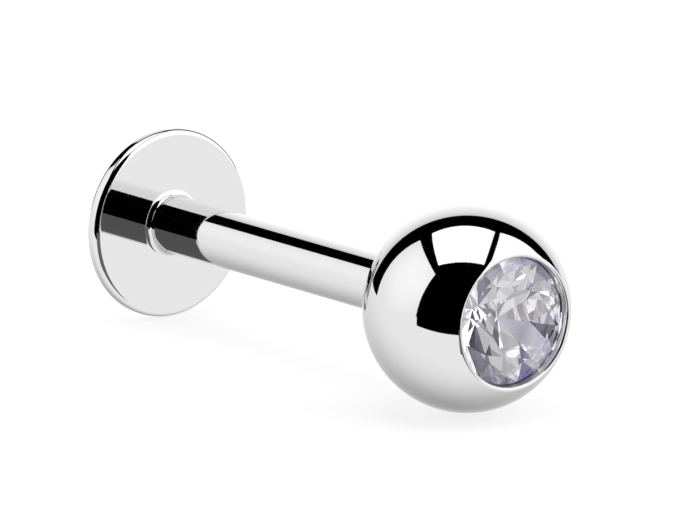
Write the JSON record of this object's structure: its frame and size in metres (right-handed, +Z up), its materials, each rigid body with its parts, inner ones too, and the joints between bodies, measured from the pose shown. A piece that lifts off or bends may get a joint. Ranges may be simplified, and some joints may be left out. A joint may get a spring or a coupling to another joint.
{
  "type": "labret stud",
  "caption": "Flat-backed labret stud with a smooth post and a screw-on ball set with a round brilliant crystal, lying on its side.",
  "frame": {"origin": "on the surface that the stud lies on, under the middle of its box", "axes": "+X along the stud from the flat back towards the crystal, +Z up; the stud's own axis rises 0.84 degrees towards the ball, because the ball is wider than the disc"},
  "size_m": [0.0122, 0.0042, 0.0043],
  "materials": {
    "polished_steel": "mirror-polished surgical steel",
    "clear_crystal": "polished, brilliant cut, with a bright backing"
  },
  "bodies": {
    "flat_back_post": {"labret_post": "polished_steel"},
    "screw_ball": {"ball": "polished_steel", "crystal": "clear_crystal"}
  },
  "joints": [
    {"name": "ball_unscrew", "type": "slide", "parent": "flat_back_post", "child": "screw_ball", "axis": [0.9999, 0, 0.0146], "range_m": [0, 0.01]}
  ]
}
